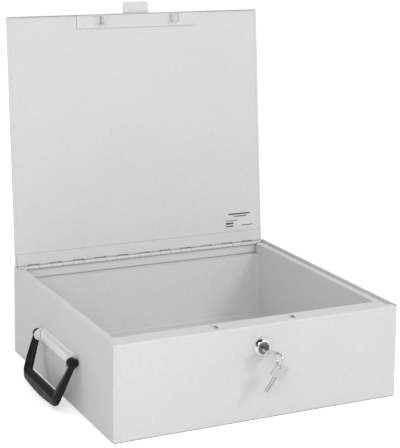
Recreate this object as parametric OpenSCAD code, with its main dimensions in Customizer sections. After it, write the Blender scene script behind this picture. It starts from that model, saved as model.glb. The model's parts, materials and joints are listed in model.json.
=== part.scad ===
// Fire-resistant document box: folded steel body with a lined tray, piano-hinged
// lid, cam lock with a sliding bar, two keys and a folding carrying handle.
// Origin: middle of the flat base. X to the right along the front, Y to the hinge, Z up.

/* [Body] */
// outside width
body_w = 350; // [344:1:356]
// outside depth
body_d = 326; // [320:1:330]
// height of the side rims
body_h = 109; // [107:1:113]
// thickness of the folded steel sheet
sheet = 0.8; // [0.7:0.1:0.9]
// radius of the folded edges
bend_r = 1.6; // [1.2:0.1:2]

/* [Tray] */
// thickness of the side and back walls with their lining
wall_t = 12; // [11:0.5:14]
// thickness of the lining board under the tray
floor_board_t = 8; // [6:0.5:10]
// distance from the front face to the tray
tray_front = 29.5; // [29:0.5:34]

/* [Lid] */
// angle at which the lid stands open
lid_open = 95; // [80:1:95]
// distance from the hinge axis to the front edge of the lid
lid_len = 313; // [307:1:316]
// thickness of the lid
lid_t = 3; // [2.8:0.1:3.4]
// width of the finger tab
tab_w = 35; // [26:1:46]
// reach of the finger tab
tab_len = 14.5; // [10:0.5:18]

/* [Hinge] */
// outside radius of the knuckles
knuckle_r = 2.2; // [2:0.1:2.4]
// distance between the knuckles of one leaf
knuckle_pitch = 30; // [26:1:34]
// width of each hinge leaf
leaf_w = 17.5; // [14:0.5:19]

/* [Lock] */
// distance from the front lip down to the lock axis
lock_drop = 24.6; // [24.2:0.1:25]
// radius of the lock bezel
bezel_r = 11; // [10:0.5:13]
// turning radius of the crank pin
crank_r = 10; // [9:0.5:11]
// angle of the key blade from the horizontal
key_tilt = 15; // [0:1:40]
// distance from the middle to each catch of the lid
catch_x = 48; // [46:1:52]

/* [Handle] */
// swing of the grip away from the wall
grip_swing = 22; // [5:1:60]
// height of the grip axis above the base
grip_z = 56; // [56:0.5:62]
// inside reach of the grip below its axis
grip_reach = 38; // [34:0.5:38]

/* [Hidden] */

$fn = 64;
eps = 0.01;
mid_x = body_w / 2;

// colours
steel_grey = [0.84, 0.84, 0.83];
board_white = [0.93, 0.92, 0.88];
zinc = [0.72, 0.73, 0.75];
chrome = [0.86, 0.87, 0.88];
nickel = [0.80, 0.79, 0.75];
black = [0.06, 0.06, 0.06];

// rims, lip and back edge of the body
rim_t = 2 * sheet;
hem_h = 9;
lip_drop = 1.4;
lip_top = body_h - lip_drop;
lip_d = 10;
lip_return = 2.2;
back_top = body_h - 7;
inner_back = body_d - sheet;

// hinge axis: the lid rests on the lip when closed
axis_y = inner_back - knuckle_r + 0.25;
axis_z = lip_top - knuckle_r;
leaf_t = 0.85;
leaf_body_back = knuckle_r - 0.25;
pin_r = 1;
pin_clear = 0.05;
hinge_margin = 4.5;
knuckle_len = knuckle_pitch / 2 - 0.3;
window_len = knuckle_pitch / 2 + 0.1;
window_depth = knuckle_r + 1.6;
knuckle_pairs = 5;

// tray
flange_top = lip_top - lip_return;
tray_x = wall_t - sheet;
tray_back = body_d - wall_t + sheet;
tray_z = sheet + floor_board_t;
tray_r = 2.5;
side_flange_end = axis_y - knuckle_r - 0.8;
back_flange_top = axis_z - 14;
board_top = flange_top - sheet;

// catches of the lid
strip_w = 164;
strip_d = 18;
strip_t = 1;
catch_t = 1.6;
catch_d = 10;
catch_gap = 3;
catch_drop = 10;
window_w = 3.8;
window_h = 6;
catch_bridge = 2.4;
slot_w = 6.5;
slot_front = 8.6;
slot_back = 25;

// lock
lock_z = lip_top - lock_drop;
lock_body_r = 8;
lock_rear = 15.4;
bezel_h = 5.2;
plug_r = 5;
plug_head_r = 6.5;
plug_head_h = 1.5;
run_clear = 0.05;
key_t = 1.9;
key_blade_w = 5.6;
key_blade_len = 18.5;
key_bow = 16.6;
key_bow_r = 2;
key_slot_len = 6;
key_slot_side = 4.3;
key_groove_w = 1.3;
key_groove_d = 0.45;
key_groove_lead = 1.5;
key_slot_w = 5;
key_slot_off = 3.9;
key_out = 22;
keyway_end = 13;
cam_t = 1.7;
cam_front = lock_rear + 0.1;
cam_back = cam_front + cam_t;
cam_disc_r = 7.5;
screw_r = 1.6;
screw_head_r = 3.8;
screw_head_h = 1.6;
screw_slot_w = 1;
nut_h = 4.5;
nut_r = 12.7;
mark_r = 0.7;
key_play = 0.1;
tail_w = 5.9;
tail_clear = 0.05;
crank_start = -45;
crank_pin_r = 2;
crank_rim = 1.5;

// sliding bar behind the front wall
bar_y = 17.6;
bar_t = 1.8;
bar_low = lock_z + 1;
bar_high = lock_z + 13;
finger_low = lock_z + 16.8;
finger_high = lock_z + 21.2;
finger_len = 13.1;
finger_gap = 1.7;
post_w = 7.4;
stud_x = 27;
stud_z = lock_z + 7;
stud_r = 2.5;
stud_clear = 0.1;
slot_play = 0.4;
stud_shoulder_r = 4;
stud_head_r = 4.2;
stud_head_t = 1;
bar_travel = 14.2;
bar_left = mid_x - 75;
bar_right = mid_x + 41;
fork_x = mid_x + crank_r * sin(crank_start);
fork_w = 2 * crank_pin_r + 1;
hump_left = 10;
hump_w = 22;
hump_h = 3.5;
relief_half = 4.5;
cover_half = 81;
cover_y = 21.2;
cover_low = lock_z - 17;
cover_high = bar_high - 0.4;
cover_foot = 10;

// key ring, seen from the side
ring_r = 7.3;
ring_wire_r = 0.6;
ring_side = 4.2;
ring_x = mid_x + ring_side * cos(key_tilt);
ring_y = -31.6;
ring_z = lock_z - ring_side * sin(key_tilt) - 4;
spare_swing = 38;
spare_side = -4.5;
spare_up = -4.7;

// lid shell
lid_x = rim_t + 0.5;
lid_back = knuckle_r + 0.2;
lid_r = 1.2;
lid_under = knuckle_r;
lid_top = knuckle_r + lid_t;
lid_edge = 3;
lid_hem_drop = 2.1;
liner_back = window_depth + 0.4;
tab_corner = 5;
label_w = 45;
label_h = 24;
label_t = 0.2;
label_x = body_w - 57;
label_up = 21;

// handle on the left wall: the grip turns outside the two ears of the plate
grip_y = 161;
grip_out = 6.5;
ear_half = 53;
ear_t = 1.6;
ear_r = 6.4;
ear_gap = 0.3;
boss_r = 6;
arm_top_in = 55.9;
arm_top_out = 61.4;
arm_low_in = 43.5;
arm_low_out = 55.7;
grip_t = 7.8;
grip_edge = 2.6;
grip_corner = 10;
grip_bar_h = 17.8;
plate_t = 1.1;
plate_half = 53.2;
plate_up = 8;
plate_down = 6;
panel_half = 49.5;
panel_up = 1.5;
panel_out = 5.5;
dimple_y = 37;
dimple_r = 0.7;
dimple_d = 0.6;
handle_pin_r = 2.6;
handle_pin_end = 60.4;
pin_head_r = 4.2;
pin_head_t = 1;
screw_y = 32;
screw_up = -2.3;
screw_shank_r = 1.6;
screw_shank_out = 3.8;
screw_head_side_r = 2.8;
screw_head_side_t = 1;
backplate_half = 42;
backplate_up = 3;
backplate_down = 8;

// shifts the layout, measured from the front left bottom corner, to the middle of the base
module from_centre() {
    translate([-body_w / 2, -body_d / 2, 0]) children();
}

// flat rectangle with exact round corners
module round_rect(w, h, r) {
    translate([r, 0]) square([w - 2 * r, h]);
    translate([0, r]) square([w, h - 2 * r]);
    for (x = [r, w - r], y = [r, h - r])
        translate([x, y]) circle(r = r);
}

// box with exact round edges, flat at the top
module folded_solid(x0, y0, z0, x1, y1, z1, r) {
    intersection() {
        translate([x0, y0, z0]) linear_extrude(z1 - z0) round_rect(x1 - x0, y1 - y0, r);
        translate([x0, y1, z0]) rotate([90, 0, 0])
            linear_extrude(y1 - y0) round_rect(x1 - x0, z1 - z0 + 2 * r, r);
        translate([x0, y0, z0]) rotate([90, 0, 90])
            linear_extrude(x1 - x0) round_rect(y1 - y0, z1 - z0 + 2 * r, r);
    }
}

// straight run along X of a profile drawn in the YZ plane
module run_x(x0, x1) {
    translate([x0, 0, 0]) rotate([90, 0, 90]) linear_extrude(x1 - x0) children();
}

// cylinder along Y
module rod_y(x, z, y0, y1, r) {
    translate([x, y0, z]) rotate([-90, 0, 0]) cylinder(h = y1 - y0, r = r);
}

// cylinder along X
module rod_x(y, z, x0, x1, r) {
    translate([x0, y, z]) rotate([0, 90, 0]) cylinder(h = x1 - x0, r = r);
}

module block(x0, y0, z0, x1, y1, z1) {
    translate([x0, y0, z0]) cube([x1 - x0, y1 - y0, z1 - z0]);
}

// ---- body ----

// front lip: folded edge, flat flange and short return
module lip_profile() {
    difference() {
        translate([bend_r, lip_top - bend_r]) circle(r = bend_r);
        translate([bend_r, lip_top - bend_r]) circle(r = bend_r - sheet);
        translate([bend_r, lip_top - 2 * bend_r]) square([bend_r, 2 * bend_r]);
        translate([0, lip_top - 2 * bend_r]) square([2 * bend_r, bend_r]);
    }
    translate([bend_r, lip_top - sheet]) square([lip_d - bend_r - sheet, sheet]);
    difference() {
        translate([lip_d - sheet, lip_top - sheet]) circle(r = sheet);
        translate([lip_d - 2 * sheet, lip_top - 2 * sheet]) square([sheet, 2 * sheet]);
    }
    translate([lip_d - sheet, lip_top - lip_return]) square([sheet, lip_return - sheet]);
}

// folded-over rim of a side wall, drawn in the XZ plane
module rim_profile() {
    square([rim_t, hem_h - rim_t / 2]);
    translate([rim_t / 2, hem_h - rim_t / 2]) circle(r = rim_t / 2);
}

module rim(x) {
    translate([x, body_d - bend_r, body_h - hem_h]) rotate([90, 0, 0])
        linear_extrude(body_d - 2 * bend_r) rim_profile();
}

module catch_slots() {
    for (side = [-1, 1])
        translate([mid_x + side * catch_x - slot_w / 2, slot_front, flange_top - 2])
            cube([slot_w, slot_back - slot_front, lip_return + 3]);
}

module outer_shell() {
    color(steel_grey) difference() {
        union() {
            difference() {
                folded_solid(0, 0, 0, body_w, body_d, body_h - rim_t / 2, bend_r);
                folded_solid(sheet, sheet, sheet, body_w - sheet, inner_back, body_h, bend_r - sheet);
                block(rim_t, -1, lip_top - bend_r, body_w - rim_t, bend_r + 1, body_h);
                block(rim_t, inner_back - 1, back_top, body_w - rim_t, body_d + 1, body_h);
            }
            run_x(rim_t, body_w - rim_t) lip_profile();
            rim(0);
            rim(body_w - rim_t);
        }
        catch_slots();
        rod_y(mid_x, lock_z, -1, 2, lock_body_r + 0.1);
        handle_screw_holes(-1, 2, screw_shank_r);
    }
}

module tray_flanges() {
    block(rim_t, sheet, flange_top - sheet, body_w - rim_t, tray_front + sheet, flange_top);
    block(rim_t, tray_front, flange_top - sheet, wall_t, side_flange_end, flange_top);
    block(body_w - wall_t, tray_front, flange_top - sheet, body_w - rim_t, side_flange_end, flange_top);
    block(tray_x, tray_back - sheet, back_flange_top - sheet, body_w - tray_x, inner_back,
          back_flange_top);
    block(rim_t, side_flange_end, back_flange_top - sheet, body_w - rim_t, inner_back,
          back_flange_top);
}

module inner_tray() {
    color(steel_grey) difference() {
        union() {
            difference() {
                folded_solid(tray_x, tray_front, tray_z, body_w - tray_x, tray_back,
                             flange_top, tray_r);
                folded_solid(wall_t, tray_front + sheet, tray_z + sheet, body_w - wall_t,
                             tray_back - sheet, body_h, tray_r - sheet);
                block(wall_t, tray_back - 2, back_flange_top - sheet / 2, body_w - wall_t,
                      tray_back + 1, body_h);
            }
            tray_flanges();
            // cheeks beside the hinge
            block(tray_x, tray_back - tray_r, back_flange_top - sheet, wall_t,
                  side_flange_end, flange_top);
            block(body_w - wall_t, tray_back - tray_r, back_flange_top - sheet, body_w - tray_x,
                  side_flange_end, flange_top);
        }
        catch_slots();
    }
}

module lining(x0, y0, z0, x1, y1, z1) {
    color(board_white) block(x0, y0, z0, x1, y1, z1);
}

module board_floor() {
    lining(rim_t, rim_t, sheet, body_w - rim_t, body_d - rim_t, tray_z);
}

module board_left() {
    difference() {
        lining(rim_t, tray_front, tray_z, tray_x, side_flange_end, board_top);
        handle_screw_holes(0, rim_t + screw_head_side_t + 0.1, screw_head_side_r + 0.2);
    }
}

module board_right() {
    lining(body_w - tray_x, tray_front, tray_z, body_w - rim_t, side_flange_end, board_top);
}

module board_back() {
    lining(tray_x, tray_back, tray_z, body_w - tray_x, inner_back, back_flange_top - sheet);
}

module board_front() {
    lining(rim_t, slot_back, tray_z, body_w - rim_t, tray_front, board_top);
}

// ---- hinge ----

// moves a piece drawn on the closed lid, measured from the hinge axis
module on_lid() {
    translate([0, axis_y, axis_z]) rotate([-lid_open, 0, 0]) children();
}

// middle of every second knuckle, counted from the middle of the hinge
function knuckle_mid(i) = mid_x + i * knuckle_pitch;

module knuckles(offset_x) {
    for (i = [-knuckle_pairs - 1 : knuckle_pairs])
        let (x = knuckle_mid(i) + offset_x)
            if (x + knuckle_len / 2 > hinge_margin && x - knuckle_len / 2 < body_w - hinge_margin)
                rod_x(0, 0, max(x - knuckle_len / 2, hinge_margin),
                      min(x + knuckle_len / 2, body_w - hinge_margin), knuckle_r);
}

module hinge_leaf_body() {
    color(steel_grey) translate([0, axis_y, axis_z]) difference() {
        union() {
            knuckles(0);
            block(hinge_margin, leaf_body_back - leaf_t, back_flange_top + 0.2 - axis_z,
                  body_w - hinge_margin, leaf_body_back, 0);
        }
        // clearance for the knuckles of the lid leaf
        for (i = [-knuckle_pairs - 1 : knuckle_pairs])
            translate([knuckle_mid(i) + knuckle_pitch / 2 - window_len / 2, -2 * knuckle_r,
                       -knuckle_r - 0.4])
                cube([window_len, 4 * knuckle_r, 3 * knuckle_r]);
        rod_x(0, 0, 0, body_w, pin_r + pin_clear);
    }
}

module hinge_leaf_lid() {
    color(steel_grey) on_lid() difference() {
        union() {
            knuckles(knuckle_pitch / 2);
            block(hinge_margin, -leaf_w, knuckle_r - leaf_t, body_w - hinge_margin, 0, knuckle_r);
        }
        // clearance for the knuckles of the body leaf
        for (i = [-knuckle_pairs : knuckle_pairs])
            translate([knuckle_mid(i) - window_len / 2, -window_depth, -2 * knuckle_r])
                cube([window_len, window_depth + 2 * knuckle_r, 4 * knuckle_r]);
        rod_x(0, 0, 0, body_w, pin_r + pin_clear);
    }
}

module hinge_pin() {
    color(zinc) rod_x(axis_y, axis_z, hinge_margin - 1, body_w - hinge_margin + 1, pin_r);
}

// ---- lid ----

module lid_solid(inset, low, r) {
    mirror([0, 0, 1])
        folded_solid(lid_x + inset, inset - lid_len, inset - lid_top, body_w - lid_x - inset,
                     lid_back - inset, -low, r);
}

module lid_panel() {
    color(steel_grey) on_lid() {
        difference() {
            lid_solid(0, lid_under, lid_r);
            lid_solid(sheet, lid_under - 1, lid_r - sheet);
        }
        // folded edges under both sides
        for (x = [lid_x + sheet / 2, body_w - lid_x - lid_edge])
            block(x, lid_r - lid_len, lid_under, x + lid_edge - sheet / 2, lid_back - lid_r,
                  lid_under + sheet);
        // front edge reaches down behind the lip
        block(lid_x + lid_edge, -lid_len, lid_under - lid_hem_drop, body_w - lid_x - lid_edge,
              sheet - lid_len, lid_under + sheet);
        translate([mid_x - tab_w / 2, -lid_len - tab_len, lid_top - sheet]) linear_extrude(sheet) {
            round_rect(tab_w, tab_len, tab_corner);
            translate([0, tab_len / 2]) square([tab_w, tab_len / 2 + lid_r]);
        }
    }
}

module lid_board() {
    color(board_white) on_lid()
        block(lid_x + lid_r, lid_r - lid_len, lid_under + sheet, body_w - lid_x - lid_r,
              -liner_back, lid_top - sheet);
}

module lid_liner() {
    color(steel_grey) on_lid()
        block(lid_x + lid_edge, sheet - lid_len, lid_under, body_w - lid_x - lid_edge,
              -liner_back, lid_under + sheet);
}

// hanging catch with a window for the bar
module catch(x) {
    difference() {
        block(x - catch_t / 2, catch_gap - lid_len, lid_under - strip_t - catch_drop,
              x + catch_t / 2, catch_gap + catch_d - lid_len, lid_under - strip_t / 2);
        translate([x - catch_t, bar_y - (window_w - bar_t) / 2 - axis_y,
                   lid_under - strip_t - catch_drop + catch_bridge])
            cube([2 * catch_t, window_w, window_h]);
    }
}

module latch_strip() {
    color(steel_grey) on_lid() {
        difference() {
            block(mid_x - strip_w / 2, sheet + 0.1 - lid_len, lid_under - strip_t,
                  mid_x + strip_w / 2, strip_d - lid_len, lid_under);
            // opening left where each catch is bent out
            for (side = [-1, 1])
                translate([mid_x + side * (catch_x + catch_t / 2 + catch_d / 2) - catch_d / 2,
                           catch_gap - lid_len, lid_under - 2 * strip_t])
                    cube([catch_d, catch_d, 4 * strip_t]);
        }
        catch(mid_x - catch_x);
        catch(mid_x + catch_x);
    }
}

module label() {
    color(zinc) on_lid()
        block(label_x, -label_up - label_h, lid_under - label_t, label_x + label_w, -label_up,
              lid_under);
}

// ---- lock ----

// plate drawn in the XZ plane
module plate_y(y0, y1) {
    translate([0, y1, 0]) rotate([90, 0, 0]) linear_extrude(y1 - y0) children();
}

module lock_housing() {
    color(chrome) difference() {
        translate([mid_x, 0, lock_z]) rotate([90, 0, 0]) rotate_extrude() polygon([
            [plug_r + run_clear, -lock_rear],
            [lock_body_r, -lock_rear],
            [lock_body_r, 0],
            [bezel_r, 0],
            [bezel_r, bezel_h * 0.14],
            [bezel_r * 0.96, bezel_h * 0.36],
            [bezel_r * 0.87, bezel_h * 0.7],
            [bezel_r * 0.77, bezel_h * 0.94],
            [bezel_r * 0.7, bezel_h],
            [plug_head_r + run_clear, bezel_h],
            [plug_head_r + run_clear, bezel_h - plug_head_h - 0.1],
            [plug_r + run_clear, bezel_h - plug_head_h - 0.1]
        ]);
        // small sighting mark
        rod_y(mid_x, lock_z - bezel_r * 0.78, -bezel_h, -bezel_h * 0.45, mark_r);
    }
}

module lock_nut() {
    color(zinc) difference() {
        translate([mid_x, sheet, lock_z]) rotate([-90, 0, 0]) cylinder(h = nut_h, r = nut_r, $fn = 6);
        rod_y(mid_x, lock_z, 0, 2 * nut_h, lock_body_r + 0.02);
    }
}

module lock_plug() {
    color(chrome) translate([mid_x, 0, lock_z]) difference() {
        union() {
            rod_y(0, 0, -bezel_h + 0.2, -bezel_h + plug_head_h, plug_head_r);
            rod_y(0, 0, -bezel_h + 1, lock_rear + 0.1, plug_r);
            block(-tail_w / 2, lock_rear, -tail_w / 2, tail_w / 2, cam_back, tail_w / 2);
        }
        rotate([0, key_tilt, 0])
            block(-key_blade_w / 2 - key_play, -bezel_h - 1, -key_t / 2 - key_play,
                  key_blade_w / 2 + key_play, keyway_end, key_t / 2 + key_play);
        rod_y(0, 0, keyway_end + 1, cam_back + 1, screw_r);
    }
}

module lock_cam() {
    color(zinc) translate([mid_x, 0, lock_z]) difference() {
        union() {
            rod_y(0, 0, cam_front, cam_back, cam_disc_r);
            rotate([0, crank_start, 0]) {
                block(-crank_pin_r - crank_rim, cam_front, 0, crank_pin_r + crank_rim, cam_back, crank_r);
                rod_y(0, crank_r, cam_front, cam_back, crank_pin_r + crank_rim);
                rod_y(0, crank_r, cam_front, bar_y + bar_t + 1, crank_pin_r);
            }
        }
        block(-tail_w / 2 - tail_clear, 0, -tail_w / 2 - tail_clear,
              tail_w / 2 + tail_clear, 2 * lock_rear, tail_w / 2 + tail_clear);
    }
}

module cam_screw() {
    color(zinc) translate([mid_x, 0, lock_z]) difference() {
        union() {
            rod_y(0, 0, keyway_end + 1.5, cam_back, screw_r);
            rod_y(0, 0, cam_back, cam_back + screw_head_h, screw_head_r);
        }
        block(-screw_head_r - 1, cam_back + screw_head_h / 2, -screw_slot_w / 2,
              screw_head_r + 1, cam_back + 2 * screw_head_h, screw_slot_w / 2);
    }
}

module lock_bar() {
    color(zinc) plate_y(bar_y, bar_y + bar_t) difference() {
        union() {
            translate([bar_left, bar_low]) square([bar_right - bar_left, bar_high - bar_low]);
            // raised middle around the fork
            translate([fork_x - hump_left, bar_low]) square([hump_w, bar_high + hump_h - bar_low]);
            // one finger for each catch
            for (side = [-1, 1])
                translate([mid_x + side * catch_x - catch_t / 2 - finger_gap - finger_len, 0]) {
                    translate([-post_w, bar_low]) square([post_w, finger_high - bar_low]);
                    translate([-0.1, finger_low])
                        square([finger_len + 0.1, finger_high - finger_low]);
                }
        }
        // fork for the crank pin
        translate([fork_x - fork_w / 2, bar_low - 1]) square([fork_w, crank_r + crank_pin_r + 1]);
        // relief over the screw head
        translate([mid_x - bar_travel - relief_half, bar_low - 1])
            square([bar_travel + 2 * relief_half, relief_half]);
        // guide slots
        for (side = [-1, 1])
            translate([mid_x + side * stud_x - bar_travel - stud_r - slot_play,
                       stud_z - stud_r - stud_clear])
                square([bar_travel + 2 * (stud_r + slot_play), 2 * (stud_r + stud_clear)]);
    }
}

module guide_studs() {
    color(zinc) for (side = [-1, 1]) {
        x = mid_x + side * stud_x;
        rod_y(x, stud_z, sheet, bar_y - 0.1, stud_shoulder_r);
        rod_y(x, stud_z, sheet, bar_y + bar_t + 0.2, stud_r);
        rod_y(x, stud_z, bar_y + bar_t + 0.1, bar_y + bar_t + 0.1 + stud_head_t, stud_head_r);
    }
}

module lock_cover() {
    color(steel_grey) {
        block(mid_x - cover_half, cover_y, cover_low, mid_x + cover_half, cover_y + sheet, cover_high);
        for (side = [-1, 1])
            translate([mid_x + side * cover_half, 0, 0]) mirror([side < 0 ? 1 : 0, 0, 0]) {
                block(-sheet, sheet, cover_low, 0, cover_y + sheet, cover_high);
                block(-sheet, sheet, cover_low, cover_foot, 2 * sheet, cover_high);
            }
    }
}

// key lying in the XY plane: bow at the origin, blade towards +Y
module key_shape() {
    difference() {
        translate([0, 0, -key_t / 2]) linear_extrude(key_t) key_outline();
        // milled groove on both faces of the blade
        for (s = [-1, 1])
            translate([-key_groove_w / 2, key_bow / 2 - key_groove_lead, s * key_t / 2 - key_groove_d])
                cube([key_groove_w, key_blade_len, 2 * key_groove_d]);
    }
}

module key_outline() {
    difference() {
        union() {
            translate([-key_bow / 2, -key_bow / 2]) round_rect(key_bow, key_bow, key_bow_r);
            translate([-key_blade_w / 2, 0])
                square([key_blade_w, key_bow / 2 + key_blade_len - 2]);
            // tapered tip
            translate([0, key_bow / 2 + key_blade_len - 2]) polygon([
                [-key_blade_w / 2, 0], [key_blade_w / 2, 0], [0.8, 2], [-0.8, 2]
            ]);
        }
        // slot for the ring, near one corner of the bow
        translate([key_slot_side - key_slot_len / 2, -key_slot_off - key_slot_w / 2])
            round_rect(key_slot_len, key_slot_w, key_slot_w / 2 - eps);
        // cuts of the bitting
        for (i = [0 : 4])
            translate([key_blade_w / 2 + 0.5 - cut_depth(i), key_bow / 2 + 5 + 3 * i])
                polygon([[0, -0.6], [3, -2], [3, 2], [0, 0.6]]);
    }
}

function cut_depth(i) = 1 + 0.4 * ((i * 2) % 3);

module key() {
    color(nickel) translate([mid_x, -key_out, lock_z]) rotate([0, key_tilt, 0]) key_shape();
}

module key_ring() {
    color(nickel) translate([ring_x, ring_y, ring_z]) rotate([0, 90, 0]) rotate_extrude()
        translate([ring_r, 0]) circle(r = ring_wire_r, $fn = 24);
}

module spare_key() {
    color(nickel) translate([ring_x, ring_y, ring_z - ring_r]) rotate([0, spare_swing, 0])
        rotate([-90, 0, 0]) translate([-spare_side, -spare_up, 0]) rotate([0, 180, 0]) key_shape();
}

// ---- handle ----

module handle_screw_holes(x0, x1, r) {
    for (s = [-1, 1])
        rod_x(grip_y + s * screw_y, grip_z + screw_up, x0, x1, r);
}

module handle_plate() {
    color(chrome) difference() {
        union() {
            block(-plate_t, grip_y - plate_half, grip_z - plate_down, 0,
                  grip_y + plate_half, grip_z + plate_up);
            block(-panel_out, grip_y - panel_half, grip_z - plate_down, 0,
                  grip_y + panel_half, grip_z + panel_up);
            // rounded shoulder from the panel up to the wall
            intersection() {
                rod_y(0, grip_z + panel_up, grip_y - panel_half, grip_y + panel_half, panel_out);
                block(-panel_out, grip_y - panel_half, grip_z + panel_up - 1, 0,
                      grip_y + panel_half, grip_z + panel_up + panel_out);
            }
            for (s = [-1, 1]) {
                y = grip_y + s * (ear_half - ear_t / 2) - ear_t / 2;
                rod_y(-grip_out, grip_z, y, y + ear_t, ear_r);
                block(-grip_out, y, grip_z - plate_down, 0, y + ear_t, grip_z + plate_up);
            }
        }
        for (s = [-1, 1])
            rod_y(-grip_out, grip_z, grip_y + s * (ear_half - ear_t / 2) - ear_t,
                  grip_y + s * (ear_half - ear_t / 2) + ear_t, handle_pin_r);
        handle_screw_holes(-screw_shank_out - 0.1, 1, screw_shank_r);
        // pressed dimples near both ends of the panel
        for (s = [-1, 1], up = [dimple_r - plate_down + 1, panel_up - dimple_r - 0.2])
            rod_x(grip_y + s * dimple_y, grip_z + up, -panel_out - 1, dimple_d - panel_out, dimple_r);
    }
}

module handle_pins() {
    color(chrome) for (s = [-1, 1]) translate([0, grip_y, 0]) mirror([0, s < 0 ? 1 : 0, 0]) {
        rod_y(-grip_out, grip_z, ear_half - ear_t, handle_pin_end, handle_pin_r);
        rod_y(-grip_out, grip_z, ear_half - ear_t - pin_head_t, ear_half - ear_t, pin_head_r);
    }
}

// outline of the grip seen from the left, drawn in the YZ plane
module grip_outline() {
    low = -grip_reach - grip_bar_h;
    difference() {
        union() {
            polygon([
                [-arm_top_out, 0], [-arm_low_out, low + grip_corner],
                [arm_low_out, low + grip_corner], [arm_top_out, 0]
            ]);
            for (s = [-1, 1])
                translate([s * (arm_low_out - grip_corner), low + grip_corner])
                    circle(r = grip_corner);
            translate([grip_corner - arm_low_out, low])
                square([2 * (arm_low_out - grip_corner), grip_corner + 1]);
        }
        polygon([
            [-arm_top_in, 1], [-arm_top_in, 0], [-arm_low_in, -grip_reach],
            [arm_low_in, -grip_reach], [arm_top_in, 0], [arm_top_in, 1]
        ]);
    }
}

module handle_grip() {
    low = -grip_reach - grip_bar_h;
    color(black) translate([-grip_out, grip_y, grip_z]) rotate([0, grip_swing, 0]) difference() {
        union() {
            intersection() {
                translate([-grip_t / 2, 0, 0]) rotate([90, 0, 90]) linear_extrude(grip_t) grip_outline();
                translate([-grip_t / 2, arm_top_out, low]) rotate([90, 0, 0])
                    linear_extrude(2 * arm_top_out) round_rect(grip_t, 2 * boss_r - low, grip_edge);
                translate([-grip_t / 2, -arm_top_out, low]) linear_extrude(boss_r - low)
                    round_rect(grip_t, 2 * arm_top_out, grip_edge);
            }
            for (y = [-arm_top_out, ear_half + ear_gap])
                rod_y(0, 0, y, y + arm_top_out - ear_half - ear_gap, boss_r);
        }
        rod_y(0, 0, -handle_pin_end - 0.2, handle_pin_end + 0.2, handle_pin_r + pin_clear);
    }
}

module handle_screws() {
    color(zinc) {
        handle_screw_holes(-screw_shank_out, rim_t, screw_shank_r);
        handle_screw_holes(rim_t, rim_t + screw_head_side_t, screw_head_side_r);
    }
}

module handle_backplate() {
    color(zinc) difference() {
        block(sheet, grip_y - backplate_half, grip_z - backplate_down, rim_t,
              grip_y + backplate_half, grip_z + backplate_up);
        handle_screw_holes(-1, 3, screw_shank_r);
    }
}

from_centre() outer_shell();
from_centre() inner_tray();
from_centre() board_floor();
from_centre() board_left();
from_centre() board_right();
from_centre() board_back();
from_centre() board_front();
from_centre() lock_cover();
from_centre() guide_studs();
from_centre() lock_bar();
from_centre() lock_housing();
from_centre() lock_nut();
from_centre() lock_plug();
from_centre() lock_cam();
from_centre() cam_screw();
from_centre() key();
from_centre() key_ring();
from_centre() spare_key();
from_centre() hinge_leaf_body();
from_centre() hinge_leaf_lid();
from_centre() hinge_pin();
from_centre() lid_panel();
from_centre() lid_board();
from_centre() lid_liner();
from_centre() latch_strip();
from_centre() label();
from_centre() handle_plate();
from_centre() handle_pins();
from_centre() handle_grip();
from_centre() handle_screws();
from_centre() handle_backplate();
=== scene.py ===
"""Looks of the fireproof document box: camera, studio, materials and the finer visible pieces."""

import json
import math

import bmesh
import bpy
from mathutils import Matrix, Vector


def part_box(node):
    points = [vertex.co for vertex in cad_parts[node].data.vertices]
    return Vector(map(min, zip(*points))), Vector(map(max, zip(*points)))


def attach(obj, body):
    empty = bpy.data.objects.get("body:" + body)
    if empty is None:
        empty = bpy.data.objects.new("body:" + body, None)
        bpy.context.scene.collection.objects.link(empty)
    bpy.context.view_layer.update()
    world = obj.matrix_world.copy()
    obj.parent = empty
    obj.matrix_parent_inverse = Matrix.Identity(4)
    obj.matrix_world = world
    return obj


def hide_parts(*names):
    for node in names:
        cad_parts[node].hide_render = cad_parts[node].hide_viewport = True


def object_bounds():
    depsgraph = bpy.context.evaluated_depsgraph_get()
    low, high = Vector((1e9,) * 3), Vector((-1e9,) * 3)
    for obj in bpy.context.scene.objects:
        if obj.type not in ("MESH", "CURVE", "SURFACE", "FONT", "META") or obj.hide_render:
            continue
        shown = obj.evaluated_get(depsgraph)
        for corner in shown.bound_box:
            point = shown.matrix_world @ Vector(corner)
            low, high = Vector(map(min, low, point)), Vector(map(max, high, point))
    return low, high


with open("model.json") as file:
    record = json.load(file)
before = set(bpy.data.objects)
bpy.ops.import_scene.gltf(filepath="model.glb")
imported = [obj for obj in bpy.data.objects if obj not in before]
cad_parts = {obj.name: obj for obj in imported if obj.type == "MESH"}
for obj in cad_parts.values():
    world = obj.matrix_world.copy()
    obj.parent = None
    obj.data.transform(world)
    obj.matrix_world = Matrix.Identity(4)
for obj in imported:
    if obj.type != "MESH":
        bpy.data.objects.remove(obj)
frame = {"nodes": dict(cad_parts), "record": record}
CAD_LOW, CAD_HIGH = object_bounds()
MM = 0.001

# ---------------------------------------------------------------- camera

LENS = 126.9
SENSOR = 36.0
SHIFT_Y = -0.3175
CAMERA_AT = (-0.7091, -1.4649, 0.5859)
CAMERA_HEADING = -0.45085
CAMERA_TILT = 1.41804
CAMERA_ROLL = 0.01221


def make_camera():
    data = bpy.data.cameras.new("camera")
    data.sensor_fit = "HORIZONTAL"
    data.sensor_width = SENSOR
    data.lens = LENS
    data.shift_y = SHIFT_Y
    camera = bpy.data.objects.new("camera", data)
    bpy.context.scene.collection.objects.link(camera)
    turn = (Matrix.Rotation(CAMERA_HEADING, 4, "Z") @ Matrix.Rotation(CAMERA_TILT, 4, "X")
            @ Matrix.Rotation(CAMERA_ROLL, 4, "Z"))
    camera.matrix_world = Matrix.Translation(CAMERA_AT) @ turn
    bpy.context.scene.camera = camera


# ---------------------------------------------------------------- node helpers

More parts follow.
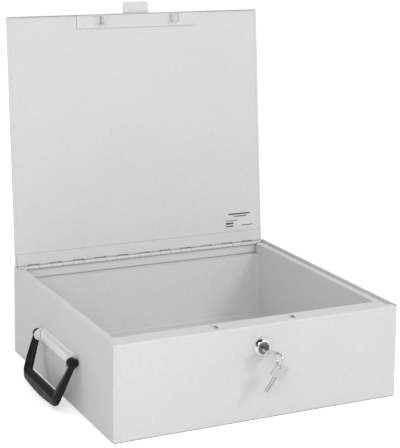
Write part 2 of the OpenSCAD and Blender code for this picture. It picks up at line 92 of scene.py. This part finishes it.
class Nodes:
    """Short way to build a node tree."""

    def __init__(self, tree):
        self.tree = tree
        tree.nodes.clear()

    def add(self, kind, **settings):
        node = self.tree.nodes.new(kind)
        inputs = settings.pop("inputs", {})
        for key, value in settings.items():
            setattr(node, key, value)
        for key, value in inputs.items():
            self.feed(node, key, value)
        return node

    def feed(self, node, key, value):
        if isinstance(value, bpy.types.NodeSocket):
            self.tree.links.new(value, node.inputs[key])
        else:
            node.inputs[key].default_value = value

    def coords(self):
        return self.add("ShaderNodeTexCoord").outputs["Object"]

    def noise(self, vector, scale, detail=3.0, rough=0.5, distortion=0.0):
        node = self.add("ShaderNodeTexNoise", inputs={
            "Vector": vector, "Scale": scale, "Detail": detail, "Roughness": rough,
            "Distortion": distortion})
        return node.outputs["Fac"]

    def stretched(self, vector, factors):
        node = self.add("ShaderNodeMapping", inputs={"Vector": vector, "Scale": factors})
        return node.outputs["Vector"]

    def spread(self, value, low, high, from_low=0.0, from_high=1.0):
        node = self.add("ShaderNodeMapRange", inputs={
            "Value": value, "From Min": from_low, "From Max": from_high,
            "To Min": low, "To Max": high})
        return node.outputs["Result"]

    def math(self, operation, a, b=0.0):
        node = self.add("ShaderNodeMath", operation=operation, inputs={0: a, 1: b})
        return node.outputs[0]

    def mix(self, factor, a, b, blend="MIX"):
        node = self.add("ShaderNodeMix", data_type="RGBA", blend_type=blend)
        self.feed(node, 0, factor)
        self.feed(node, 6, a)
        self.feed(node, 7, b)
        return node.outputs[2]

    def crevice(self, distance):
        """1 in the open, falling towards 0 in seams and gaps."""
        node = self.add("ShaderNodeAmbientOcclusion", samples=6, inputs={"Distance": distance})
        return node.outputs["AO"]

    def bump(self, height, distance, strength=1.0, normal=None):
        inputs = {"Height": height, "Distance": distance, "Strength": strength}
        if normal is not None:
            inputs["Normal"] = normal
        return self.add("ShaderNodeBump", inputs=inputs).outputs["Normal"]


def new_material(name, build):
    material = bpy.data.materials.new(name)
    material.use_nodes = True
    nodes = Nodes(material.node_tree)
    shader = build(nodes)
    nodes.add("ShaderNodeOutputMaterial", inputs={"Surface": shader})
    return material


def grey(value, warm=0.0):
    return (value * (1 + warm), value, value * (1 - warm), 1.0)


# ---------------------------------------------------------------- materials

SEAM_REACH = 3.0


def powder_coat(nodes, tone=0.62, peel=0.6, open_air=0.66, seam_shade=0.22):
    """Light grey baked paint with a fine orange-peel texture, faint handling marks and painted
    shade in seams and gaps.
    """
    at = nodes.coords()
    broad = nodes.noise(at, 9.0, detail=2.0)
    mottle = nodes.noise(at, 210.0, detail=2.0, rough=0.55)
    fine = nodes.noise(at, 620.0, detail=3.0, rough=0.6)
    grain = nodes.noise(at, 1900.0, detail=2.0, rough=0.6)
    colour = nodes.mix(nodes.spread(broad, 0.0, 1.0, 0.35, 0.65), grey(tone * 0.985, 0.002),
                       grey(tone * 1.01, 0.002))
    colour = nodes.mix(nodes.spread(mottle, 0.0, 0.16, 0.35, 0.7), colour, grey(tone * 0.8))
    colour = nodes.mix(nodes.spread(fine, 0.0, 0.1, 0.35, 0.7), colour, grey(tone * 0.6))
    # painted shade: ambient occlusion darkens the paint towards tone * seam_shade in seams, gaps
    # and under edges
    painted_shade_mask = nodes.spread(nodes.crevice(SEAM_REACH * MM), 0.0, 1.0, 0.32, open_air)
    colour = nodes.mix(painted_shade_mask, grey(tone * seam_shade), colour)
    rubbed = nodes.noise(at, 40.0, detail=5.0, rough=0.65)
    roughness = nodes.math("SUBTRACT", nodes.spread(fine, 0.44, 0.6),
                           nodes.spread(rubbed, 0.0, 0.1, 0.52, 0.75))
    relief = nodes.math("ADD", nodes.math("MULTIPLY", mottle, 1.6), fine)
    relief = nodes.math("ADD", relief, nodes.math("MULTIPLY", grain, 0.4))
    shader = nodes.add("ShaderNodeBsdfPrincipled", inputs={
        "Base Color": colour, "Roughness": roughness, "Specular IOR Level": 0.4,
        "Normal": nodes.bump(relief, 0.1 * MM * peel, 0.6)})
    return shader.outputs[0]


def lid_coat(nodes):
    """The same paint, laid on more coarsely."""
    return powder_coat(nodes, peel=2.0)


def hinge_coat(nodes):
    """The same paint, with deeper shade where the barrel meets the leaves."""
    return powder_coat(nodes, open_air=0.84, seam_shade=0.06)


def satin_nickel(nodes):
    """Dull bright plating of the handle plate, faintly stained by handling."""
    stain = nodes.noise(nodes.coords(), 90.0, detail=4.0, rough=0.6)
    return nodes.add("ShaderNodeBsdfPrincipled", inputs={
        "Base Color": nodes.mix(stain, grey(0.78), grey(0.84)), "Metallic": 0.35,
        "Roughness": nodes.spread(stain, 0.3, 0.38, 0.4, 0.7)}).outputs[0]


def chrome(nodes):
    """Bright plating with faint hairlines and handling marks."""
    at = nodes.coords()
    smear = nodes.noise(at, 120.0, detail=4.0)
    hair = nodes.noise(nodes.stretched(at, (1.0, 8.0, 1.0)), 900.0, detail=2.0)
    shader = nodes.add("ShaderNodeBsdfPrincipled", inputs={
        "Base Color": (0.90, 0.90, 0.91, 1.0), "Metallic": 1.0,
        "Roughness": nodes.spread(smear, 0.07, 0.13, 0.4, 0.75),
        "Normal": nodes.bump(hair, 0.01 * MM, 0.12)})
    return shader.outputs[0]


def zinc_plate(nodes):
    at = nodes.coords()
    spangle = nodes.add("ShaderNodeTexVoronoi", inputs={"Vector": at, "Scale": 420.0})
    colour = nodes.mix(spangle.outputs["Color"], (0.62, 0.64, 0.66, 1.0), (0.74, 0.74, 0.72, 1.0))
    shader = nodes.add("ShaderNodeBsdfPrincipled", inputs={
        "Base Color": colour, "Metallic": 1.0, "Roughness": 0.34,
        "Normal": nodes.bump(nodes.noise(at, 1500.0), 0.02 * MM, 0.5)})
    return shader.outputs[0]


def gypsum_board(nodes):
    at = nodes.coords()
    fibre = nodes.noise(at, 700.0, detail=6.0, rough=0.7)
    colour = nodes.mix(fibre, (0.72, 0.70, 0.64, 1.0), (0.84, 0.82, 0.77, 1.0))
    shader = nodes.add("ShaderNodeBsdfPrincipled", inputs={
        "Base Color": colour, "Roughness": 0.9,
        "Normal": nodes.bump(fibre, 0.2 * MM, 0.8)})
    return shader.outputs[0]


def black_plastic(nodes):
    """Satin black moulding with a very fine spark-eroded texture."""
    at = nodes.coords()
    spark = nodes.noise(at, 2400.0, detail=2.0, rough=0.6)
    touch = nodes.noise(at, 60.0, detail=3.0)
    shader = nodes.add("ShaderNodeBsdfPrincipled", inputs={
        "Base Color": (0.006, 0.006, 0.0065, 1.0), "Specular IOR Level": 0.28,
        "Roughness": nodes.spread(touch, 0.34, 0.48, 0.35, 0.7),
        "Normal": nodes.bump(spark, 0.03 * MM, 0.5)})
    return shader.outputs[0]


def label_foil(nodes):
    at = nodes.coords()
    shader = nodes.add("ShaderNodeBsdfPrincipled", inputs={
        "Base Color": (0.62, 0.62, 0.61, 1.0), "Metallic": 0.15,
        "Roughness": nodes.spread(nodes.noise(at, 300.0), 0.3, 0.45),
        "Normal": nodes.bump(nodes.noise(at, 60.0), 0.05 * MM, 0.3)})
    return shader.outputs[0]


def plug_steel(nodes):
    """Dull turned face of the lock plug, dark in its grooves."""
    at = nodes.coords()
    stain = nodes.noise(at, 700.0, detail=5.0, rough=0.7, distortion=0.6)
    tone = nodes.mix(nodes.spread(stain, 0.0, 1.0, 0.42, 0.62), grey(0.05), grey(0.42))
    return nodes.add("ShaderNodeBsdfPrincipled", inputs={
        "Base Color": tone, "Metallic": 1.0, "Roughness": 0.26,
        "Normal": nodes.bump(stain, 0.06 * MM, 0.6)}).outputs[0]


def print_ink(nodes):
    at = nodes.coords()
    tone = nodes.mix(nodes.noise(at, 900.0), grey(0.05), grey(0.12))
    return nodes.add("ShaderNodeBsdfPrincipled", inputs={
        "Base Color": tone, "Roughness": 0.55}).outputs[0]


def nickel(nodes):
    """Plated brass of the keys, dull, with painted shade darkening the grooves."""
    at = nodes.coords()
    smear = nodes.noise(at, 160.0, detail=4.0)
    # painted shade: ambient occlusion darkens the grooves and crevices of the keys to near black
    painted_groove_shade = nodes.spread(nodes.crevice(1.5 * MM), 0.0, 1.0, 0.45, 0.92)
    tone = nodes.mix(painted_groove_shade, grey(0.03), (0.66, 0.66, 0.65, 1.0))
    return nodes.add("ShaderNodeBsdfPrincipled", inputs={
        "Base Color": tone, "Metallic": 1.0,
        "Roughness": nodes.spread(smear, 0.13, 0.25, 0.4, 0.75)}).outputs[0]


MATERIALS = {
    "powder_coat": new_material("powder_coat", powder_coat),
    "lid_coat": new_material("lid_coat", lid_coat),
    "hinge_coat": new_material("hinge_coat", hinge_coat),
    "lining_board": new_material("gypsum_board", gypsum_board),
    "zinc": new_material("zinc_plate", zinc_plate),
    "chrome": new_material("chrome", chrome),
    "plug_steel": new_material("plug_steel", plug_steel),
    "key_nickel": new_material("nickel", nickel),
    "label_foil": new_material("label_foil", label_foil),
    "grip_plastic": new_material("black_plastic", black_plastic),
}


# ---------------------------------------------------------------- CAD pieces

# width of the broken edges in mm, by material slot
EDGE_WIDTH = {"powder_coat": 0.25, "lid_coat": 0.25, "hinge_coat": 0.15, "lining_board": 0.3,
              "zinc": 0.2, "chrome": 0.25, "plug_steel": 0.15, "key_nickel": 0.15,
              "label_foil": 0.03, "grip_plastic": 0.3}
SMOOTH_ANGLE = math.radians(35)
FLAT_ANGLE = math.radians(0.3)
WELD_REACH = 0.005


def soften(piece, width):
    """Weld the shells, merge coplanar facets, break the sharp edges and smooth the curves."""
    piece.data.polygons.foreach_set("use_smooth", [True] * len(piece.data.polygons))
    weld = piece.modifiers.new("weld", "WELD")
    weld.merge_threshold = WELD_REACH * MM
    planes = piece.modifiers.new("planes", "DECIMATE")
    planes.decimate_type = "DISSOLVE"
    planes.angle_limit = FLAT_ANGLE
    bevel = piece.modifiers.new("edges", "BEVEL")
    bevel.width = width * MM
    bevel.segments = 2
    bevel.limit_method = "ANGLE"
    bevel.angle_limit = SMOOTH_ANGLE
    bevel.use_clamp_overlap = True
    normals = piece.modifiers.new("normals", "WEIGHTED_NORMAL")
    normals.mode = "FACE_AREA"
    normals.weight = 50
    normals.keep_sharp = False


def paint_cad():
    looks = {"handle_plate": new_material("satin_nickel", satin_nickel),
             "lid_panel": MATERIALS["lid_coat"]}
    for part in frame["record"]["subparts"]:
        piece = frame["nodes"][part["node"]]
        slot = part["material_slot"]
        piece.data.materials.clear()
        piece.data.materials.append(looks.get(part["node"], MATERIALS[slot]))
        soften(piece, EDGE_WIDTH[slot])


def mesh_object(name, build):
    """Object made by one build function, its faces turned outwards."""
    mesh = bmesh.new()
    build(mesh)
    bmesh.ops.recalc_face_normals(mesh, faces=mesh.faces)
    data = bpy.data.meshes.new(name)
    mesh.to_mesh(data)
    mesh.free()
    made = bpy.data.objects.new(name, data)
    bpy.context.scene.collection.objects.link(made)
    return made


def smooth(data):
    """Smooth the curves and keep the edges above the smoothing angle sharp."""
    data.polygons.foreach_set("use_smooth", [True] * len(data.polygons))
    data.set_sharp_from_angle(angle=SMOOTH_ANGLE)


def add_piece(name, body, slot, build, material=None):
    """Make one new visible piece and hang it on its body."""
    piece = mesh_object(name, build)
    smooth(piece.data)
    piece.data.materials.append(material or MATERIALS[slot])
    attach(piece, body)
    return piece


def joint(name):
    joints = frame["record"]["behaviour"]["joints"]
    return next(item for item in joints if item["name"] == name)


# ---------------------------------------------------------------- moulded grip

# sizes in mm, measured across from the middle and down from the axis
ARM_TOP_IN = 55.9
ARM_TOP_OUT = 61.4
ARM_LOW_IN = 43.5
ARM_TAPER = 0.122
GRIP_BAR = 17.8
BAR_BELLY = 2.6
OUTER_CORNER = 10.0
INNER_CORNER = 3.5
HALF_THICK = 3.9
BOSS_FACE = 53.3
BOSS_RADIUS = 6.0
BORE_RADIUS = 2.68
BORE_END = 60.5
RIDGE_ARM = 0.86
RIDGE_BAR = 0.4
ARM_RINGS = 10
CORNER_RINGS = 10
BAR_RINGS = 12


def mix_points(a, b, t):
    return (a[0] + (b[0] - a[0]) * t, a[1] + (b[1] - a[1]) * t)


def fillet(centre, radius, start, end, steps):
    """Points on an arc, angles in degrees measured from +w towards +s."""
    points = []
    for step in range(steps + 1):
        angle = math.radians(start + (end - start) * step / steps)
        points.append((centre[0] + radius * math.cos(angle), centre[1] + radius * math.sin(angle)))
    return points


def grip_rails(reach, bottom):
    """Inner and outer edge of half the grip, from the boss to the middle of the bar."""
    lean_in = math.degrees(math.atan2(ARM_TOP_IN - ARM_LOW_IN, reach))
    inner_at = (ARM_LOW_IN - INNER_CORNER, reach - INNER_CORNER)
    inner_arc = fillet(inner_at, INNER_CORNER, -lean_in / 2, 90, CORNER_RINGS)
    corner_s = bottom - BAR_BELLY - OUTER_CORNER
    outer_w = ARM_TOP_OUT - ARM_TAPER * corner_s
    outer_at = (outer_w - OUTER_CORNER, corner_s)
    outer_arc = fillet(outer_at, OUTER_CORNER, 0, 84, CORNER_RINGS)
    inner = [mix_points((ARM_TOP_IN, 0), inner_arc[0], i / ARM_RINGS) for i in range(ARM_RINGS)]
    outer = [mix_points((ARM_TOP_OUT, 0), outer_arc[0], i / ARM_RINGS) for i in range(ARM_RINGS)]
    inner += inner_arc
    outer += outer_arc
    for i in range(1, BAR_RINGS + 1):
        t = i / BAR_RINGS
        inner.append(mix_points(inner_arc[-1], (0, reach), t))
        drop = (bottom - outer_arc[-1][1]) * math.sin(t * math.pi / 2)
        outer.append((outer_arc[-1][0] * (1 - t), outer_arc[-1][1] + drop))
    return inner, outer


def ridge_share(index, total):
    """Where the ridge of the outward face lies between inner and outer edge."""
    start = ARM_RINGS * 0.7
    t = min(max((index - start) / (total - 1 - start), 0.0), 1.0)
    return RIDGE_ARM + (RIDGE_BAR - RIDGE_ARM) * math.sin(t * math.pi / 2) ** 0.8


def grip_section(width, ridge):
    """Loop of (across, out) points: inner edge, outward face with its ridge, outer edge, back."""
    round_in = min(2.4, width * 0.35)
    crest = max(ridge * width, round_in + 0.6)
    rise = min(1.5, (crest - round_in) * 0.3)
    fall = min((width - crest) * 0.42, 4.4)
    shoulder = HALF_THICK - rise
    loop = [(0.0, -HALF_THICK + round_in), (0.0, shoulder - round_in)]
    for angle in (30, 60):
        a = math.radians(angle)
        loop.append((round_in * (1 - math.cos(a)), shoulder - round_in * (1 - math.sin(a))))
    loop.append((round_in, shoulder))
    loop.append((crest - 0.5, HALF_THICK - 0.06))
    loop.append((crest, HALF_THICK))
    loop.append((crest + 0.4 * min(1.0, width - crest), HALF_THICK - 0.12))
    edge = min(1.6, width * 0.22)
    belly = HALF_THICK - fall
    loop.append((max(width - edge, crest + 0.5), belly + 0.05 * fall))
    loop.append((width - edge * 0.25, belly - edge * 0.25))
    loop.append((width, belly - edge))
    loop.append((width, -HALF_THICK + edge))
    loop.append((width - edge * 0.3, -HALF_THICK + edge * 0.3))
    loop.append((width - edge, -HALF_THICK))
    loop.append((round_in, -HALF_THICK))
    loop.append((round_in * 0.3, -HALF_THICK + round_in * 0.3))
    return loop


def grip_frame():
    """Axis point of the grip and the unit directions of its width, length and outward face."""
    axis = Vector(joint("grip_hinge")["pos_m"])
    swing = grip_swing()
    along = Vector((-math.sin(swing), 0, -math.cos(swing)))
    outward = Vector((-math.cos(swing), 0, math.sin(swing)))
    return axis, Vector((0, 1, 0)), along, outward


def grip_swing():
    """Rest swing of the grip, the part of its range below zero."""
    return -math.radians(joint("grip_hinge")["range_deg"][0])


def grip_length():
    """Distance from the axis to the lowest edge, from the grip's own points."""
    axis, _, along, _ = grip_frame()
    piece = frame["nodes"]["handle_grip"]
    return max((piece.matrix_world @ v.co - axis).dot(along) for v in piece.data.vertices) / MM


def build_grip(mesh):
    axis, wide, along, outward = grip_frame()
    bottom = grip_length()
    inner, outer = grip_rails(bottom - GRIP_BAR, bottom)
    count = len(inner)
    stations = []
    for side in (-1, 1):
        indices = range(count) if side < 0 else range(count - 2, -1, -1)
        for i in indices:
            stations.append((side, inner[i], outer[i], ridge_share(i, count)))
    rings = []
    for side, near, far, ridge in stations:
        start = axis + wide * (side * near[0] * MM) + along * (near[1] * MM)
        end = axis + wide * (side * far[0] * MM) + along * (far[1] * MM)
        span = end - start
        across_way = span.normalized()
        ring = []
        for across, out in grip_section(span.length / MM, ridge):
            point = start + across_way * (across * MM) + outward * (out * MM)
            ring.append(mesh.verts.new(point))
        rings.append(ring)
    for a, b in zip(rings, rings[1:]):
        for j in range(len(a)):
            k = (j + 1) % len(a)
            mesh.faces.new((a[j], a[k], b[k], b[j]))
    mesh.faces.new(rings[0])
    mesh.faces.new(list(reversed(rings[-1])))


def turned(mesh, centre, direction, profile, steps=48):
    """Closed solid of revolution; profile is a list of (along, radius) in mm from pole to pole."""
    direction = Vector(direction).normalized()
    side = direction.orthogonal().normalized()
    other = direction.cross(side)
    rings = []
    for along, radius in profile:
        at = Vector(centre) + direction * (along * MM)
        if radius < 1e-6:
            rings.append([mesh.verts.new(at)])
            continue
        ring = []
        for k in range(steps):
            a = 2 * math.pi * k / steps
            spoke = side * math.cos(a) + other * math.sin(a)
            ring.append(mesh.verts.new(at + spoke * (radius * MM)))
        rings.append(ring)
    for a, b in zip(rings, rings[1:]):
        for k in range(steps):
            n = (k + 1) % steps
            if len(a) == 1:
                mesh.faces.new((a[0], b[n], b[k]))
            elif len(b) == 1:
                mesh.faces.new((a[k], a[n], b[0]))
            else:
                mesh.faces.new((a[k], a[n], b[n], b[k]))


def carve(piece, tool, operation):
    """Apply one boolean and drop the tool."""
    cut = piece.modifiers.new("carve", "BOOLEAN")
    cut.operation = operation
    cut.solver = "EXACT"
    cut.object = tool
    graph = bpy.context.evaluated_depsgraph_get()
    result = bpy.data.meshes.new_from_object(piece.evaluated_get(graph))
    piece.modifiers.clear()
    piece.data = result
    bpy.data.objects.remove(tool)


def grip_bosses(mesh):
    axis = Vector(joint("grip_hinge")["pos_m"])
    for side in (-1, 1):
        turned(mesh, axis, (0, side, 0), [
            (BOSS_FACE, 0), (BOSS_FACE, BOSS_RADIUS - 0.4), (BOSS_FACE + 0.4, BOSS_RADIUS),
            (ARM_TOP_OUT - 2.4, BOSS_RADIUS), (ARM_TOP_OUT - 1.4, BOSS_RADIUS - 0.2),
            (ARM_TOP_OUT - 0.6, BOSS_RADIUS - 0.8), (ARM_TOP_OUT - 0.15, BOSS_RADIUS - 1.8),
            (ARM_TOP_OUT, BOSS_RADIUS - 3.2), (ARM_TOP_OUT, 0)])


def grip_bores(mesh):
    axis = Vector(joint("grip_hinge")["pos_m"])
    for side in (-1, 1):
        turned(mesh, axis, (0, side, 0), [
            (BOSS_FACE - 1, 0), (BOSS_FACE - 1, BORE_RADIUS),
            (BORE_END, BORE_RADIUS), (BORE_END, 0)])


def make_grip():
    grip = add_piece("grip_moulding", "grip", "grip_plastic", build_grip)
    carve(grip, mesh_object("grip_bosses", grip_bosses), "UNION")
    carve(grip, mesh_object("grip_bores", grip_bores), "DIFFERENCE")
    smooth(grip.data)
    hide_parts("handle_grip")


# ---------------------------------------------------------------- label print

LABEL_BARS = (
    # left, right, height from the top: shares of the label's width and height; thickness in mm
    (0.14, 0.86, 0.12, 2.0), (0.32, 0.74, 0.27, 1.3),
    (0.05, 0.44, 0.50, 0.9), (0.05, 0.30, 0.62, 2.6), (0.05, 0.30, 0.80, 1.6),
    (0.58, 0.94, 0.80, 1.0),
)
INK_LIFT = 0.02
INK_SINK = 0.01
BOX_QUADS = ((3, 2, 1, 0), (4, 5, 6, 7), (0, 1, 5, 4), (1, 2, 6, 5), (2, 3, 7, 6), (3, 0, 4, 7))


def build_label_print(mesh):
    low, high = (Vector(corner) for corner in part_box("label"))
    lean = math.radians(joint("lid_hinge")["range_deg"][1] - 90)
    up = Vector((0, math.sin(lean), math.cos(lean)))
    face = Vector((0, -math.cos(lean), math.sin(lean)))
    piece = frame["nodes"]["label"]
    points = [piece.matrix_world @ v.co for v in piece.data.vertices]
    out = max(p.dot(face) for p in points)
    top = max(p.dot(up) for p in points)
    height = top - min(p.dot(up) for p in points)
    width = high.x - low.x
    for left, right, down, thick in LABEL_BARS:
        u0, u1 = top - height * down - thick * MM, top - height * down
        corners = []
        for depth in (-INK_SINK, INK_LIFT):
            base = face * (out + depth * MM)
            for x, u in ((left, u0), (right, u0), (right, u1), (left, u1)):
                corners.append(mesh.verts.new(base + up * u + Vector((low.x + width * x, 0, 0))))
        for quad in BOX_QUADS:
            mesh.faces.new([corners[i] for i in quad])


def make_label_print():
    add_piece("label_print", "lid", "label_foil", build_label_print, new_material("ink", print_ink))


# ---------------------------------------------------------------- studio

DARK_ROOM = (-0.4, -0.6, 0.7)
DIM_CORNER = (-0.7, 0.65, 0.3)
SKY_STRENGTH = 0.83
FLOOR_SIZE = 12
FLOOR_GLOW = 0.42
LIGHTS = (
    # name, place in metres, side in metres, power in watts
    ("key", (1.5, -3.2, 2.2), 0.7, 32),
    ("fill", (-1.0, -1.7, 1.2), 1.2, 14),
    ("side", (-1.5, 0.9, 1.1), 0.6, 4),
)


def area_light(name, place, target, side, power):
    data = bpy.data.lights.new(name, "AREA")
    data.shape = "SQUARE"
    data.size = side
    data.energy = power
    light = bpy.data.objects.new(name, data)
    bpy.context.scene.collection.objects.link(light)
    light.location = place
    light.rotation_euler = (Vector(target) - Vector(place)).to_track_quat("-Z", "Y").to_euler()


def lobe(nodes, direction, centre, start, full):
    """1 inside a cone about centre, fading to 0 at its rim."""
    toward = nodes.add("ShaderNodeVectorMath", operation="DOT_PRODUCT", inputs={
        0: direction, 1: Vector(centre).normalized()}).outputs["Value"]
    return nodes.spread(toward, 0.0, 1.0, start, full)


def sky(nodes):
    """White surroundings with a dim corner at the left; metal also sees the dark room in front."""
    direction = nodes.add("ShaderNodeTexCoord").outputs["Generated"]
    glossy = nodes.add("ShaderNodeLightPath").outputs["Is Glossy Ray"]
    room = nodes.math("MULTIPLY", lobe(nodes, direction, DARK_ROOM, 0.5, 0.72), glossy)
    corner = lobe(nodes, direction, DIM_CORNER, 0.72, 0.92)
    corner = nodes.math("MULTIPLY", corner, nodes.spread(glossy, 0.55, 1.0))
    dark = nodes.math("MAXIMUM", room, corner)
    tone = nodes.mix(dark, (1, 1, 1, 1), grey(0.05))
    light = nodes.add("ShaderNodeBackground", inputs={"Color": tone, "Strength": SKY_STRENGTH})
    return light.outputs[0]


def white_floor(nodes):
    """Pale floor that the camera sees a little brighter than the object does."""
    seen = nodes.add("ShaderNodeLightPath").outputs["Is Camera Ray"]
    return nodes.add("ShaderNodeBsdfPrincipled", inputs={
        "Base Color": grey(0.82), "Roughness": 0.9, "Emission Color": grey(1.0),
        "Emission Strength": nodes.math("MULTIPLY", seen, FLOOR_GLOW)}).outputs[0]


def studio():
    world = bpy.data.worlds.new("studio")
    bpy.context.scene.world = world
    world.use_nodes = True
    nodes = Nodes(world.node_tree)
    nodes.add("ShaderNodeOutputWorld", inputs={"Surface": sky(nodes)})
    bpy.context.scene.view_settings.view_transform = "Standard"
    middle = (CAD_LOW + CAD_HIGH) / 2
    for name, place, side, power in LIGHTS:
        area_light(name, place, middle, side, power)
    bpy.ops.mesh.primitive_plane_add(size=FLOOR_SIZE, location=(0, 0, 0))
    floor = bpy.context.object
    floor.name = "floor"
    floor.data.materials.append(new_material("floor", white_floor))


paint_cad()
make_grip()
make_label_print()
make_camera()
studio()
